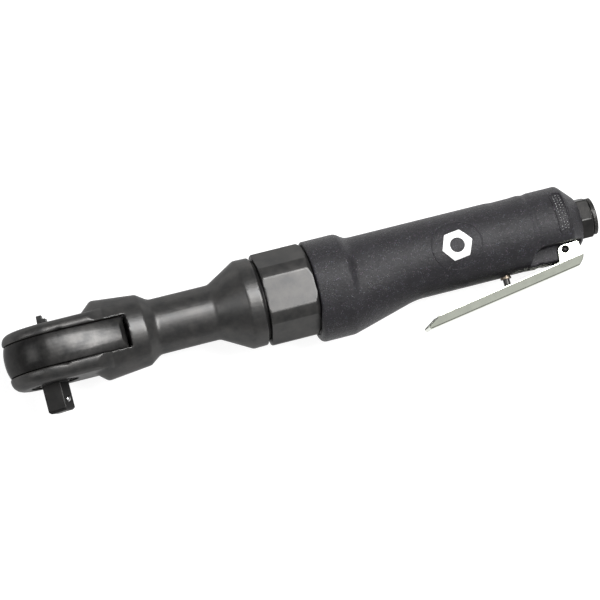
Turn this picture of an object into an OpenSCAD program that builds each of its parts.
// Air ratchet with a 3/8 inch square drive.
// The tool lies on its side: X runs from the head to the air inlet, Y is the axis of the square drive, and
// Z points up out of the side of the handle. All stations along X are measured from the drive axis.

/* [Head] */
// Radius of the round end of the fork
fork_r = 19.5; // [19.2:0.1:20]
// Height of the fork's upper face above the axis
fork_top = 12.9; // [12.8:0.1:13.6]
// Depth of the fork's lower face below the axis
fork_low = 14.3; // [13.9:0.1:14.8]
// Half the thickness of the yoke
yoke_half = 7.5; // [7:0.1:7.8]
// Outer radius of the yoke ring
yoke_r = 20.4; // [20:0.1:20.8]
// Station of the root of the fork slot
slot_root = 37.4; // [37:0.1:38]
// Largest radius of the shoulder behind the fork
shoulder_r = 19; // [18.2:0.1:19.8]
// Radius of the neck
neck_r = 13.1; // [13:0.1:14]
// Radius of the collar in front of the clamp nut
collar_r = 21; // [20.6:0.1:21.6]
// Side of the square drive
square_w = 9.53; // [9.45:0.01:9.58]
// How far the end of the square drive is from the tool's axis
square_end = 27.6; // [26:0.1:29]
// Turn of the square drive about its own axis at rest
square_turn = -30; // [-60:0.1:-10]
// Turn of the reverse knob at rest, from straight across the head
knob_turn = -12; // [-20:1:-10]

/* [Gears] */
// Module of the planetary gears
gear_module = 0.6; // [0.59:0.01:0.6]
// Teeth on the rotor pinion
sun_teeth = 12; // [12]
// Teeth on each planet gear
planet_teeth = 15; // [15]
// Throw of the crank pin
crank_throw = 1.95; // [1.6:0.05:2]
// Swing of the yoke to each side
yoke_swing = 5; // [3:0.5:5]

/* [Clamp nut] */
// Radius of the clamp nut over its round corners
nut_r = 21.7; // [21.4:0.1:21.9]
// Distance of the wrench flats from the axis
nut_flat = 20.1; // [19.8:0.1:20.6]
// Turn of the flats about the tool's axis
nut_turn = 2; // [-10:1:10]

/* [Handle] */
// Radius of the housing's front ring
front_r = 21.9; // [21.8:0.1:22.4]
// Radius of the handle
handle_r = 18.05; // [17.9:0.05:18.4]
// How far the handle's centre is above the motor's axis
handle_rise = 0.65; // [0:0.05:0.7]
// Lowest point of the belly under the motor
belly_low = 26; // [25:0.1:27]
// Radius of the motor bore
motor_bore = 15; // [14.9:0.05:15.1]
// Across flats of the inlet bushing
inlet_flats = 18; // [17.4:0.1:18.6]
// Radius of the air inlet thread
inlet_r = 5.7; // [5.6:0.05:5.8]

/* [Throttle] */
// Station of the lever pin
pivot_x = 246.5; // [245.5:0.1:247]
// Distance of the lever pin below the axis
pivot_drop = 12.1; // [11.8:0.1:12.6]
// Slope of the lever at rest
lever_slope = 8.9; // [8.5:0.1:9.5]
// Width of the lever
lever_w = 15; // [14.6:0.1:16]
// Thickness of the lever's sheet
sheet = 1.4; // [1.2:0.1:1.5]
// Outer radius of the lever's bends
bend_r = 1; // [0.8:0.1:3]
// Station of the plunger
plunger_x = 217; // [216:0.5:218]
// Radius of the plunger
plunger_r = 1.6; // [1.4:0.05:1.6]

/* [Hidden] */
$fn = 72;

// Running clearance, and the slip fit of pieces that stay put
run = 0.05;
slip = 0.03;

// Stations along the tool
shoulder_x = 24.6;
neck_x = 50.6;
cone_x = 79.3;
collar_x = 93.4;
groove_x = 100.3;
nut_x = 101.9;
nut_end = 125.8;
gear_bore_x = 92.4;
head_end = 112;
spigot_x = 112.2;
house_x = 126.1;
lip_x = 124.8;
plate_x = 112.6;
liner_x = 121.05;
rear_plate_x = 160.15;
motor_end = 168.15;
seat_x = 234;
valve_x = 236.5;
chamber_end = 243;
house_end = 257.1;
hex_end = 262.8;
inlet_end = 265.4;

waist = 0.3;

// Lever, measured from its pin with the lever laid level
web_out = 9.7;
web_in = web_out - sheet;
lever_tip = 74.7;
lever_half = lever_w / 2;
crease = 5.05;
fold_r = 3;
lean = 1.1;
lug_half = lever_half - sheet - 0.1;
pin_hole = 1.65;

// The box of the whole tool, which sets the origin
lever_low = pivot_drop + lever_tip * sin(lever_slope) + web_out * cos(lever_slope);
drive_x = (yoke_r - inlet_end) / 2;
axis_y = (lever_low - front_r) / 2;
axis_z = front_r;

// Gears
ring_teeth = sun_teeth + 2 * planet_teeth;
gear_centre = gear_module * (sun_teeth + planet_teeth) / 2;
tooth_tip = 0.5;
tooth_root = 0.68;
bush_x = 18.3;
bush_end = 26.5;
bush_r = 3;
pin_r = 2;
pocket_half = bush_r + crank_throw + bush_end * sin(yoke_swing) + 0.3;
pocket_x = 16.8;

// Fork and yoke
edge_break = 0.4;
crown_r = 26;
tail_r = 110;
yoke_end = 36.2;

// Anvil and pawl
anvil_r = 11;
boss_r = 7;
yoke_bore = 12;
pawl_half = 5.5;
pawl_pin_x = 7.6;
pawl_pin_r = 1.5;
ball_drop = 22.5;
pawl_rock = 3;

// Centre of the plunger's round tip, just clear of the lever's web
tip_gap = 0.1;
plunger_low = pivot_drop + (pivot_x - plunger_x) * tan(lever_slope)
  + (web_in - plunger_r - tip_gap) / cos(lever_slope);

// Puts a module's child on the tool: the drive axis at X = 0 and the motor axis along X
module on_tool() translate([drive_x, axis_y, axis_z]) children();
// The same for what is centred on the handle
module on_handle() on_tool() translate([0, handle_rise, 0]) children();

// Round bars along each axis
module rod_x(x0, x1, r, y = 0, z = 0)
  translate([x0, y, z]) rotate([0, 90, 0]) cylinder(h = x1 - x0, r = r);
module rod_y(y0, y1, r, x = 0, z = 0)
  translate([x, y0, z]) rotate([-90, 0, 0]) cylinder(h = y1 - y0, r = r);
module rod_z(z0, z1, r, x = 0, y = 0)
  translate([x, y, z0]) cylinder(h = z1 - z0, r = r);

// A tube along X, and a tube along Y
module tube_x(x0, x1, r_in, r_out) difference() {
  rod_x(x0, x1, r_out);
  rod_x(x0 - 1, x1 + 1, r_in);
}
module tube_y(y0, y1, r_in, r_out) difference() {
  rod_y(y0, y1, r_out);
  rod_y(y0 - 1, y1 + 1, r_in);
}

// A body turned about X, from points of [station, radius]
module turned(points)
  rotate([0, 90, 0]) rotate_extrude($fn = 96) polygon([for (p = points) [p[1], p[0]]]);

// Points along an arc
function arc(cx, cy, r, a0, a1, steps = 8) =
  [for (i = [0:steps]) let (a = a0 + (a1 - a0) * i / steps) [cx + r * cos(a), cy + r * sin(a)]];

// Rounds the corners of an outline: a corner's third number is its radius
function unit(v) = v / norm(v);
function flat(p) = [p[0], p[1]];
function eased(points, steps = 5) = [
  for (i = [0:len(points) - 1])
    let (p = flat(points[i]), r = points[i][2])
    each r == undef ? [p] :
      let (a = unit(flat(points[i - 1]) - p), b = unit(flat(points[i + 1]) - p), half = acos(a * b) / 2)
      let (c = p + unit(a + b) * r / sin(half), t = r / tan(half))
      [for (k = [0:steps]) c + r * unit((p + a * t - c) * (1 - k / steps) + (p + b * t - c) * k / steps)]];

// Outline of a gear: straight-flanked teeth with a little backlash. shift turns it by a part of a tooth.
function tooth_angle(r, teeth, width) =
  (width + 2 * (gear_module * teeth / 2 - r) * tan(20)) / r * 90 / PI;
function gear_points(teeth, shift = 0, width = 0.8, lo = -tooth_root, hi = tooth_tip, side = 1) =
  let (r0 = gear_module * teeth / 2 + lo, r1 = gear_module * teeth / 2 + hi, step = 360 / teeth)
  let (a0 = tooth_angle(gear_module * teeth / 2 + lo * side, teeth, width))
  let (a1 = tooth_angle(gear_module * teeth / 2 + hi * side, teeth, width))
  [for (i = [0:teeth - 1], k = [[r0, -a0], [r1, -a1], [r1, a1], [r0, a0]])
    let (a = (i + shift) * step + k[1]) [k[0] * cos(a), k[0] * sin(a)]];

// A coil spring of round turns along Z, as rings joined by a thin spine
module coil(length, r, wire, turns) {
  for (i = [0:turns])
    translate([0, 0, wire / 2 + i * (length - wire) / turns])
      rotate_extrude($fn = 32) translate([r, 0]) circle(d = wire, $fn = 16);
  translate([r, 0, wire / 2]) cylinder(h = length - wire, d = wire * 0.8, $fn = 16);
}

// A ball bearing on X: inner and outer rings, balls and the cage that joins them
module ball_bearing(x0, width, r_in, r_out, balls = 9) {
  mid = (r_in + r_out) / 2;
  ball = (r_out - r_in) * 0.27;
  translate([x0 + width / 2, 0, 0]) rotate([0, 90, 0]) {
    for (side = [-1, 1])
      rotate_extrude()
        difference() {
          translate([mid + side * (r_out - r_in) * 0.35, 0])
            square([(r_out - r_in) * 0.3, width], center = true);
          translate([mid, 0]) circle(r = ball * 1.04);
        }
    difference() {
      cylinder(h = width * 0.3, r = mid + ball * 0.35, center = true);
      cylinder(h = width, r = mid - ball * 0.35, center = true);
    }
    for (i = [1:balls])
      rotate([0, 0, i * 360 / balls]) translate([mid, 0, 0]) sphere(r = ball, $fn = 32);
  }
}

// ---- Head ----

// Half section of the turned body: shoulder, neck, cone, collar and the spigot inside the clamp nut
head_profile = eased([[12, 0], [12, 12.2],
  [17.9, 13.2, 6], [shoulder_x, shoulder_r, 2.5], [45.4, 16.8, 2],
  [neck_x, neck_r, 4], [cone_x, neck_r - 0.1, 4], [collar_x, collar_r, 2],
  [groove_x, collar_r - 0.2, 0.5], [groove_x + 0.1, collar_r - 2],
  [nut_x - 0.05, collar_r - 2], [nut_x - 0.05, 18.2],
  [head_end, 18.2], [head_end, 0]]);

// Half section of the fork, with its rounded edges, as [distance from the middle, height]
fork_edge = eased([[0, -fork_low], [fork_r, -fork_low, 5.2], [fork_r, fork_top, 4.2], [0, fork_top]]);
slit = yoke_half + 0.12;

module fork_blank() {
  rotate([-90, 0, 0]) rotate_extrude($fn = 96) polygon(fork_edge);
  for (side = [0, 1])
    mirror([0, 0, side]) rotate([0, 90, 0]) linear_extrude(30)
      polygon([for (p = fork_edge) [-p[0], p[1]]]);
}

// Broken edges along both sides of the slot, at the height of one of its faces
module slit_edge(height) translate([0, height, 0]) {
  rotate([-90, 0, 0]) rotate_extrude($fn = 96)
    polygon([[fork_r - edge_break, 0], [fork_r + 1, -edge_break - 1], [fork_r + 1, edge_break + 1]]);
  for (side = [0, 1])
    mirror([0, 0, side]) rotate([0, 90, 0]) linear_extrude(shoulder_x)
      polygon([[-fork_r + edge_break, 0], [-fork_r - 1, -edge_break - 1], [-fork_r - 1, edge_break + 1]]);
}

module ratchet_housing() color([0.2, 0.2, 0.2]) on_tool() difference() {
  union() {
    // The fork, whose back corners are turned down to the shoulder
    intersection() {
      fork_blank();
      turned(concat([[-30, 0], [-30, 26], [6, 26]], arc(6, shoulder_r - 41.6, 46.6, 90, 63.2, 6), [[27, 0]]));
    }
    turned(head_profile);
  }
  // Slot between the fork's plates
  translate([-30, -slit, -30]) cube([30 + slot_root, 2 * slit, 60]);
  for (height = [-slit, slit])
    slit_edge(height);
  // Bores of the anvil: its body below, its boss and the knob above
  rod_y(-20, 0, anvil_r + run);
  rod_y(-13.7, -12.4, anvil_r + 1);
  rod_y(0, 20, boss_r + run);
  // Bores of the crank, its bearings and the gears
  rod_x(slot_root - 1, 52, 7.5 + slip);
  rod_x(51, 84.6, 8.5);
  rod_x(84.5, gear_bore_x + 1, 11 + slip);
  rod_x(gear_bore_x, head_end + 1, motor_bore);
}

// One crowned disc of the yoke, centred at a distance z to the side
module crowned(r, z) translate([0, 0, z]) rotate([-90, 0, 0]) rotate_extrude($fn = 240)
  polygon(concat([[0, -yoke_half]], arc(r - crown_r, 0, crown_r, -asin(yoke_half / crown_r),
    asin(yoke_half / crown_r), 8), [[0, yoke_half]]));

module ratchet_yoke() color([0.45, 0.45, 0.44]) on_tool() difference() {
  union() {
    crowned(yoke_r, 0);
    // The tail narrows along two large arcs
    intersection() {
      crowned(tail_r, yoke_r - tail_r);
      crowned(tail_r, tail_r - yoke_r);
      translate([0, -20, -30]) cube([yoke_end, 40, 60]);
    }
  }
  // Ring of ratchet teeth inside
  rotate([-90, 0, 0]) linear_extrude(40, center = true)
    polygon([for (i = [0:35], k = [0, 1]) let (a = i * 10 + k * 5, r = k == 0 ? yoke_bore : yoke_bore + 0.9)
      [r * cos(a), r * sin(a)]]);
  // Pocket of the drive bushing, open at the back and flared past the bushing
  translate([pocket_x, -20, -pocket_half]) cube([30, 40, 2 * pocket_half]);
  translate([bush_end + 0.1, -20, -8.6]) cube([30, 40, 17.2]);
  // Rounded corners of the tail
  for (side = [-1, 1])
    translate([yoke_end, 0, side * 14.6]) rotate([0, 45, 0]) cube([3, 40, 3], center = true);
}

// The anvil: a body that holds the pawl, a boss above, and the square drive below
module anvil_solid() {
  rod_y(-10.4, yoke_half - 0.1, anvil_r);
  rod_y(0, 11.1, boss_r);
  rod_y(-14.1, -10, boss_r - 0.1);
  difference() {
    translate([0, -square_end + (square_end - 14) / 2, 0])
      cube([square_w, square_end - 14, square_w], center = true);
    // Chamfer around the end of the square
    for (i = [0:3])
      rotate([0, i * 90, 0]) translate([square_w / 2, -square_end, 0]) rotate([0, 0, 45])
        cube([1.4, 1.4, 20], center = true);
    // Eased corners of the square
    for (i = [0:3])
      rotate([0, i * 90 + 45, 0]) translate([square_w / sqrt(2) + 0.7, -20, 0])
        cube([2, 40, 20], center = true);
  }
}

module ratchet_anvil() color([0.3, 0.3, 0.3]) on_tool() difference() {
  rotate([0, square_turn, 0]) difference() {
    anvil_solid();
    // Hole of the detent ball in one face of the square
    rod_x(-1.5, 10, 1.65, -ball_drop);
  }
  // Pocket of the pawl, and the bores of its pin and of the knob
  translate([0, -pawl_half - 0.15, -10]) cube([15, 2 * pawl_half + 0.3, 20]);
  rod_y(-9, 9, pawl_pin_r + slip, pawl_pin_x);
  rod_y(-6, 20, 4 + run);
}

module pawl() color([0.55, 0.55, 0.55]) on_tool()
  translate([pawl_pin_x, 0, 0]) rotate([0, pawl_rock, 0]) translate([-pawl_pin_x, 0, 0]) difference() {
    intersection() {
      rod_y(-pawl_half, pawl_half, 11.3);
      translate([5.6, -pawl_half, -8.3]) cube([10, 2 * pawl_half, 16.6]);
    }
    rod_y(-20, 20, pawl_pin_r + run, pawl_pin_x);
    // Notches between the teeth at each end
    for (side = [-1, 1], i = [0:1])
      rotate([0, side * (26 + 10 * i), 0]) translate([11.6, 0, 0]) rotate([0, 45, 0])
        cube([1.2, 40, 1.2], center = true);
  }

module pawl_pin() color("silver") on_tool() rod_y(-8.9, 7.3, pawl_pin_r, pawl_pin_x);

module reverse_knob() color([0.25, 0.25, 0.25]) on_tool() rotate([0, knob_turn, 0]) difference() {
  union() {
    rod_y(11.2, 12.8, boss_r);
    rod_y(-5.4, 12, 4);
    // Tab that the thumb turns, with a lower step along one side
    rotate([0, -90, 0]) {
      translate([0, 0, -1.7]) linear_extrude(2.4)
        polygon([[-5.2, 12], [5.6, 12], [2.8, 17.9], [-1.6, 17.9], [-2.2, 16.6], [-4.8, 16.2]]);
      translate([0, 0, -3.3]) linear_extrude(1.8) polygon([[-4.6, 12], [4.6, 12], [3, 16], [-3.4, 16]]);
    }
  }
  // Cross hole of the pawl plunger and its spring
  rod_x(-2.6, 6, 1.5 + run);
}

module pawl_plunger() color("silver") on_tool() rotate([0, knob_turn, 0]) {
  rod_x(1.6, 4.8, 1.5);
  translate([4.8, 0, 0]) rotate([0, 90, 0]) cylinder(h = 0.7, r1 = 1.5, r2 = 0.7);
}

module pawl_spring() color("silver") on_tool() rotate([0, knob_turn, 0])
  translate([-2.55, 0, 0]) rotate([0, 90, 0]) coil(4.1, 1, 0.4, 5);

module thrust_washer() color("silver") on_tool() tube_y(-12.4, -10.45, boss_r + run, anvil_r - 0.1);

module retaining_ring() color([0.35, 0.35, 0.35]) on_tool() difference() {
  tube_y(-13.6, -12.5, 9.2, anvil_r + 0.9);
  translate([9, -20, -2.5]) cube([10, 40, 5]);
}

module detent_ball() color([0.85, 0.85, 0.85]) on_tool() rotate([0, square_turn, 0])
  translate([square_w / 2 - 0.9, -ball_drop, 0]) sphere(r = 1.6);

module detent_spring() color("silver") on_tool() rotate([0, square_turn, 0])
  translate([-1.45, -ball_drop, 0]) rotate([0, 90, 0]) coil(3.6, 1.1, 0.4, 4);

// ---- Gearing ----

module drive_bushing() color([0.4, 0.38, 0.35]) on_tool() translate([0, crank_throw, 0])
  tube_x(bush_x, bush_end, pin_r + run, bush_r);

module crankshaft() color([0.5, 0.5, 0.5]) on_tool() difference() {
  union() {
    rod_x(bush_x - 0.3, 28, pin_r, crank_throw);
    rod_x(27, 84, 5);
    rod_x(80, 94, 6 - slip);
    rod_x(93.4, 96.8, 11.5);
  }
  for (i = [0:2])
    rotate([i * 120, 0, 0]) rod_x(93, 97, pin_r + slip, gear_centre);
}

module crank_needle_bearing() color([0.6, 0.6, 0.6]) on_tool() tube_x(40, 50, 5 + run, 7.5);

module crank_ball_bearing() color([0.7, 0.7, 0.7]) on_tool() ball_bearing(84.8, 7, 6, 11, 11);

module crank_thrust_washer() color([0.6, 0.55, 0.4]) on_tool() tube_x(92.5, 93.3, 7, motor_bore - 0.05);

module planet_gear(i) color([0.6, 0.6, 0.6]) on_tool()
  rotate([i * 120, 0, 0]) translate([97.3, gear_centre, 0]) difference() {
    rotate([90, 0, 90]) linear_extrude(9) polygon(gear_points(planet_teeth));
    rod_x(-1, 10, pin_r + run);
  }
module planet_gear_1() planet_gear(0);
module planet_gear_2() planet_gear(1);
module planet_gear_3() planet_gear(2);

module planet_pins() color("silver") on_tool()
  for (i = [0:2])
    rotate([i * 120, 0, 0]) rod_x(93.6, 106.9, pin_r, gear_centre);

module ring_gear() color([0.45, 0.45, 0.45]) on_tool() difference() {
  rod_x(97, 108.5, motor_bore - slip);
  // The gaps between its teeth, cut as a gear with wide teeth
  translate([96, 0, 0]) rotate([90, 0, 90]) linear_extrude(14)
    polygon(gear_points(ring_teeth, 0, 1.08, -tooth_tip, tooth_root));
}

module gear_spacer() color([0.6, 0.6, 0.6]) on_tool() tube_x(108.55, 112.5, 9, motor_bore - slip);

// ---- Clamp nut ----

module clamp_nut() color([0.3, 0.3, 0.3]) on_tool() difference() {
  intersection() {
    turned([[nut_x, 0], [nut_x, nut_r - 0.5], [nut_x + 0.5, nut_r], [nut_end - 1.8, nut_r],
      [nut_end, nut_r - 1.4], [nut_end, 0]]);
    rotate([nut_turn + 30, 0, 0]) rotate([0, 90, 0]) cylinder(h = 300, r = nut_flat / cos(30), $fn = 6);
  }
  rod_x(nut_x - 1, 120.6, 18.3);
  rod_x(120, nut_end + 1, 17.05);
}

module nut_snap_ring() color([0.4, 0.4, 0.4]) on_tool() difference() {
  tube_x(118.6, 120.5, 16.2, 18.2);
  translate([118, -1.5, 10]) cube([3, 3, 12]);
}

// ---- Motor ----

module front_end_plate() color([0.55, 0.55, 0.55]) on_tool() difference() {
  rod_x(plate_x, liner_x - 0.05, motor_bore - slip);
  rod_x(plate_x - 1, 119.85, 12 + slip);
  rod_x(119, 122, 6);
  rod_x(120, 122, 0.8 + slip, -13.6);
}

module front_bearing() color([0.7, 0.7, 0.7]) on_tool() ball_bearing(112.8, 7, 4.5, 12, 8);

module rotor() color([0.5, 0.5, 0.5]) on_tool() difference() {
  union() {
    rod_x(liner_x + 0.25, rear_plate_x - 0.25, 10.4);
    rod_x(109, liner_x + 1, 4.5 - slip);
    rod_x(rear_plate_x - 1, 167.9, 3 - slip);
    translate([98.5, 0, 0]) rotate([90, 0, 90]) linear_extrude(11) polygon(gear_points(sun_teeth, 0, 0.74));
  }
  for (i = [0:4])
    rotate([i * 72, 0, 0]) translate([liner_x, -0.85, 5.2]) cube([40, 1.7, 8]);
}

module rotor_blades() color([0.35, 0.22, 0.12]) on_tool() intersection() {
  rod_x(liner_x, rear_plate_x, 10.68);
  for (i = [0:4])
    rotate([i * 72, 0, 0]) translate([liner_x + 0.3, -0.8, 5.3])
      cube([rear_plate_x - liner_x - 0.6, 1.6, 8]);
}

module cylinder_liner() color([0.6, 0.6, 0.6]) on_tool() difference() {
  rod_x(liner_x, rear_plate_x - 0.05, motor_bore - slip);
  rod_x(liner_x - 1, rear_plate_x + 1, 12, 1.2);
  // Exhaust ports towards the vents, and the hole of the pin
  for (i = [0:3])
    translate([132 + i * 6, -3, -18]) cube([2.5, 6, 12]);
  rod_x(liner_x - 1, rear_plate_x + 1, 0.8 + slip, -13.6);
}

module cylinder_pin() color("silver") on_tool() rod_x(120.1, 162.4, 0.8, -13.6);

module rear_end_plate() color([0.55, 0.55, 0.55]) on_tool() difference() {
  rod_x(rear_plate_x, motor_end - 0.05, motor_bore - slip);
  rod_x(161.6, motor_end + 1, 9.5 + slip);
  rod_x(rear_plate_x - 1, 162, 4);
  rod_x(rear_plate_x - 1, 162.5, 0.8 + slip, -13.6);
  // Air ports into the cylinder
  for (i = [-1:1])
    rotate([i * 24, 0, 0]) rod_x(rear_plate_x - 1, motor_end + 1, 1.4, 12.2);
}

module rear_bearing() color([0.7, 0.7, 0.7]) on_tool() ball_bearing(161.8, 6, 3, 9.5, 8);

// ---- Handle ----

// The rounded belly under the motor: its lip reaches under the clamp nut, and it tapers into the handle
module belly() difference() {
  hull() {
    rod_x(lip_x + 2, 141.3, belly_low - 6, -6);
    rod_x(lip_x, 141.3, belly_low - 8, -6);
    rod_x(173, 173.5, handle_r - 0.1, handle_rise);
  }
  rod_x(lip_x - 1, house_x, nut_r + 0.4);
}

module handle_shell() {
  translate([0, handle_rise, 0])
    turned(eased([[house_x + 4, 0], [house_x + 4, handle_r], [215.6, handle_r], [217, handle_r - waist],
      [229, handle_r - waist], [234, handle_r - 0.1], [249.9, handle_r, 3.5], [house_end, 10.9], [house_end, 0]]));
  turned(eased([[house_x, 0], [house_x, front_r, 0.6], [144.2, front_r, 2], [148, handle_r - 0.3, 3],
    [153, handle_r - 0.4], [153, 0]]));
  belly();
}

// Recesses on both sides of the lug that the lever's ears straddle
module ear_recess() {
  x1 = pivot_x + 8.8;
  for (side = [0, 1])
    mirror([0, 0, side]) {
      rod_z(lug_half, 30, 8.6, 236.6, -17.6);
      translate([236.6, -30, lug_half]) cube([x1 - 236.6, 21, 30]);
      translate([230, -40, lug_half]) cube([x1 - 230, 22.4, 30]);
    }
}

module motor_housing() color([0.09, 0.09, 0.1]) on_tool() difference() {
  union() {
    difference() {
      handle_shell();
      ear_recess();
    }
    rod_x(spigot_x, house_x + 1, 17);
  }
  // Motor bore, air passages and the valve chamber
  rod_x(spigot_x - 1, motor_end, motor_bore);
  rod_x(motor_end - 1, 171.5, 13.2);
  rod_x(171, 202, 5);
  translate([0, handle_rise, 0]) {
    rod_x(201, seat_x - 0.1, 7);
    rod_x(seat_x - 0.2, chamber_end + 0.1, 8.5);
    rod_x(chamber_end, house_end + 1, 9.05);
  }
  // Groove of the snap ring
  tube_x(118.5, 120.55, 16.15, 20);
  // Bore of the plunger bushing, and of the lever pin
  rod_y(-20, 0, 2.3 + slip, plunger_x);
  rod_z(-20, 20, 1.6 + slip, pivot_x, -pivot_drop);
  // Exhaust vents on the far side
  for (i = [0:3])
    translate([132 + i * 6, -7, -30]) cube([2.5, 14, 20]);
}

module valve_seat() color([0.75, 0.65, 0.4]) on_handle() tube_x(seat_x, valve_x - 0.05, 4.5, 8.5 - slip);

module throttle_valve() color([0.6, 0.55, 0.4]) on_handle() {
  rod_x(valve_x, valve_x + 2, 5.8);
  rod_x(215, valve_x + 1, 1.25);
}

module valve_spring() color("silver") on_handle() translate([valve_x + 2.05, 0, 0]) rotate([0, 90, 0])
  coil(8, 3.6, 0.8, 5);

module plunger_bushing() color([0.75, 0.68, 0.5]) on_tool() translate([plunger_x, 0, 0]) difference() {
  union() {
    rod_y(-17.8, -7.4, 2.3);
    rod_y(-18.4, -17.55, 2.6);
  }
  rod_y(-30, 0, plunger_r + run);
  tube_y(-13.2, -11.6, 1, 2.05);
}

module plunger_oring() color([0.05, 0.05, 0.05]) on_tool() translate([plunger_x, 0, 0])
  tube_y(-13.1, -11.7, plunger_r + 0.02, 2.0);

module throttle_plunger() color([0.15, 0.15, 0.15]) on_tool() translate([plunger_x, 0, 0]) {
  rod_y(-plunger_low, handle_rise - 1.6, plunger_r);
  translate([0, -plunger_low, 0]) sphere(r = plunger_r, $fn = 48);
}

// The lever laid level, with its pin at the origin and its tip towards -X
ear_outline = eased([[-5.2, -4.7], [-2.8, 2.9, 3], [7.4, 1.7, 1.2], [7.3, -6.6, 5], [3.4, -web_out]]);

// Section of its sheet, bent to a channel whose flanges lean in below the ears
function channel_edge(half, low, bend) = eased([[-half, 20], [-half, -crease, fold_r],
  [-half + lean, -low, bend], [half - lean, -low, bend], [half, -crease, fold_r], [half, 20]]);
module channel() translate([-90, 0, 0]) rotate([0, 90, 0]) linear_extrude(110) difference() {
  polygon(channel_edge(lever_half, web_out, bend_r));
  translate([0, 1, 0]) polygon(channel_edge(lever_half - sheet, web_in + 1, 0.4));
}

module throttle_lever() color([0.8, 0.82, 0.8]) on_tool() translate([pivot_x, -pivot_drop, 0])
  rotate([0, 0, lever_slope]) difference() {
    intersection() {
      channel();
      linear_extrude(40, center = true)
        polygon(concat(ear_outline, eased([[3, -web_out], [-lever_tip + 1, -web_out], [-lever_tip, -8, 0.6],
          [-68, -5.1, 2], [-60, -5.05]])));
    }
    rod_z(-20, 20, pin_hole);
  }

module lever_pin() color([0.7, 0.7, 0.7]) on_tool()
  rod_z(-lever_half - 0.3, lever_half + 0.3, 1.6, pivot_x, -pivot_drop);

module inlet_bushing() color([0.12, 0.12, 0.12]) on_handle() difference() {
  union() {
    rod_x(chamber_end + 0.1, house_end + 0.2, 9.05 - slip);
    intersection() {
      rotate([12, 0, 0]) rotate([0, 90, 0]) cylinder(h = hex_end, r = inlet_flats / 2 / cos(30), $fn = 6);
      turned([[house_end + 0.1, 0], [house_end + 0.1, 10.2], [hex_end - 0.8, 10.3], [hex_end, 9.6],
        [hex_end, 0]]);
    }
    // The round rim, with a groove in front of it
    turned([[hex_end - 0.1, 0], [hex_end - 0.1, 8], [hex_end + 0.5, 8], [hex_end + 0.8, 8.7],
      [inlet_end - 0.4, 8.7], [inlet_end, 8.2], [inlet_end, 0]]);
  }
  // Thread, its relief, the pocket of the screen and the air passage
  rod_x(251.2, inlet_end + 1, inlet_r);
  rod_x(249.9, 251.3, inlet_r + 0.6);
  rod_x(248.4, 250, 5.1);
  rod_x(246, 248.5, 4.4);
  rod_x(chamber_end - 1, 246.6, 4.6);
  // Groove of the o-ring
  tube_x(254.4, 255.8, 8.15, 12);
}

module inlet_oring() color([0.05, 0.05, 0.05]) on_handle() tube_x(254.5, 255.7, 8.2, 9);

module inlet_screen() color([0.6, 0.6, 0.6]) on_handle() difference() {
  rod_x(248.5, 249.7, 5.05);
  for (y = [-3:1.5:3], z = [-3:1.5:3])
    translate([248, y - 0.45, z - 0.45]) cube([3, 0.9, 0.9]);
}

ratchet_housing();
ratchet_yoke();
ratchet_anvil();
pawl();
pawl_pin();
reverse_knob();
pawl_plunger();
pawl_spring();
thrust_washer();
retaining_ring();
detent_ball();
detent_spring();
drive_bushing();
crankshaft();
crank_needle_bearing();
crank_ball_bearing();
crank_thrust_washer();
planet_gear_1();
planet_gear_2();
planet_gear_3();
planet_pins();
ring_gear();
gear_spacer();
clamp_nut();
nut_snap_ring();
front_end_plate();
front_bearing();
rotor();
rotor_blades();
cylinder_liner();
cylinder_pin();
rear_end_plate();
rear_bearing();
motor_housing();
valve_seat();
throttle_valve();
valve_spring();
plunger_bushing();
throttle_plunger();
plunger_oring();
throttle_lever();
lever_pin();
inlet_bushing();
inlet_oring();
inlet_screen();
